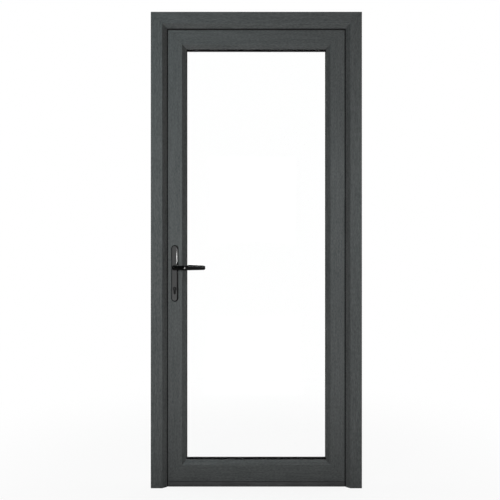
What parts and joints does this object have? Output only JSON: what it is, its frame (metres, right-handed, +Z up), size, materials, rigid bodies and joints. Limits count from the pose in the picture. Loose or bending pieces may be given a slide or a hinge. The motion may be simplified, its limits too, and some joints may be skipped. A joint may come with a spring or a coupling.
{
  "type": "glazed pvc door with frame",
  "caption": "Single inward-opening PVC door leaf with full-height glazing, in its three-sided frame with a low threshold, lever handle and multipoint lock.",
  "frame": {"origin": "middle of the threshold's underside, at the middle of the frame's depth", "axes": "+X right seen from outside, +Y from outside to inside, +Z up"},
  "size_m": [0.92, 0.186, 2.075],
  "materials": {
    "anthracite_foil": "fine woodgrain foil on PVC",
    "galvanised_steel": "galvanised",
    "black_seal": "soft black rubber",
    "zinc_steel": "zinc plated",
    "hinge_black": "black powder coat",
    "handle_black": "glossy dark coating",
    "threshold_aluminium": "dark anodised",
    "clear_glass": "clear float glass",
    "spacer_black": "matt warm-edge bar",
    "packer_blue": "moulded",
    "cylinder_black": "black satin"
  },
  "bodies": {
    "frame": {"frame_head": "anthracite_foil", "frame_lock_jamb": "anthracite_foil", "frame_hinge_jamb": "anthracite_foil", "head_steel": "galvanised_steel", "jamb_steels": "galvanised_steel", "frame_seal": "black_seal", "threshold": "threshold_aluminium", "threshold_seal": "black_seal", "threshold_screws": "zinc_steel", "centre_keep": "zinc_steel", "upper_keep": "zinc_steel", "lower_keep": "zinc_steel", "upper_hinge_frame_leaf": "hinge_black", "middle_hinge_frame_leaf": "hinge_black", "lower_hinge_frame_leaf": "hinge_black", "hinge_pins": "zinc_steel", "frame_screws": "zinc_steel"},
    "leaf": {"sash_top_rail": "anthracite_foil", "sash_bottom_rail": "anthracite_foil", "sash_lock_stile": "anthracite_foil", "sash_hinge_stile": "anthracite_foil", "bead_top": "anthracite_foil", "bead_bottom": "anthracite_foil", "bead_lock_side": "anthracite_foil", "bead_hinge_side": "anthracite_foil", "rail_steels": "galvanised_steel", "lock_stile_steel": "galvanised_steel", "hinge_stile_steel": "galvanised_steel", "outer_glazing_seal": "black_seal", "inner_glazing_seal": "black_seal", "sash_seal": "black_seal", "edge_sealant": "black_seal", "sash_screws": "zinc_steel", "lock_faceplate": "zinc_steel", "gearbox_case": "zinc_steel", "upper_hook_case": "zinc_steel", "lower_hook_case": "zinc_steel", "cylinder_screw": "zinc_steel", "upper_hinge_sash_leaf": "hinge_black", "middle_hinge_sash_leaf": "hinge_black", "lower_hinge_sash_leaf": "hinge_black", "outside_plate": "handle_black", "inside_plate": "handle_black", "handle_screws": "handle_black", "outer_pane": "clear_glass", "inner_pane": "clear_glass", "spacer_bar": "spacer_black", "glazing_packers": "packer_blue", "cylinder_body": "cylinder_black"},
    "handle": {"outside_lever": "handle_black", "inside_lever": "handle_black", "spindle": "zinc_steel", "follower": "zinc_steel"},
    "latch": {"latch_bolt": "zinc_steel"},
    "deadbolt": {"deadbolt": "zinc_steel"},
    "drive": {"drive_rail": "zinc_steel"},
    "upper_hook": {"upper_hook": "zinc_steel"},
    "lower_hook": {"lower_hook": "zinc_steel"},
    "key_plug": {"cylinder_plug": "cylinder_black", "cam": "zinc_steel"}
  },
  "joints": [
    {"name": "door_swing", "type": "hinge", "parent": "frame", "child": "leaf", "pos_m": [0.429, 0.055, 1.0375], "axis": [0, 0, -1], "range_deg": [0, 90]},
    {"name": "handle_turn", "type": "hinge", "parent": "leaf", "child": "handle", "pos_m": [-0.357, 0.012, 0.96], "axis": [0, 1, 0], "range_deg": [0, 40], "stiffness_Nm_per_rad": 2, "springref_deg": -20.05},
    {"name": "latch_slide", "type": "slide", "parent": "leaf", "child": "latch", "axis": [1, 0, 0], "range_m": [0, 0.0092]},
    {"name": "drive_rail_slide", "type": "slide", "parent": "leaf", "child": "drive", "axis": [0, 0, 1], "range_m": [0, 0.02]},
    {"name": "upper_hook_turn", "type": "hinge", "parent": "leaf", "child": "upper_hook", "pos_m": [-0.38, 0.012, 1.56], "axis": [0, -1, 0], "range_deg": [0, 90.1]},
    {"name": "lower_hook_turn", "type": "hinge", "parent": "leaf", "child": "lower_hook", "pos_m": [-0.38, 0.012, 0.36], "axis": [0, -1, 0], "range_deg": [0, 90.1]},
    {"name": "key_turn", "type": "hinge", "parent": "leaf", "child": "key_plug", "pos_m": [-0.357, 0.012, 0.868], "axis": [0, 1, 0], "range_deg": [0, 360]},
    {"name": "deadbolt_slide", "type": "slide", "parent": "leaf", "child": "deadbolt", "axis": [-1, 0, 0], "range_m": [0, 0.0206]}
  ],
  "couplings": [
    {"joint": "latch_slide", "follows": "handle_turn", "m_per_rad": 0.012892},
    {"joint": "upper_hook_turn", "follows": "drive_rail_slide", "rad_per_m": 78.54},
    {"joint": "lower_hook_turn", "follows": "drive_rail_slide", "rad_per_m": 78.54},
    {"joint": "deadbolt_slide", "follows": "key_turn", "m_per_rad": 0.0031831}
  ]
}
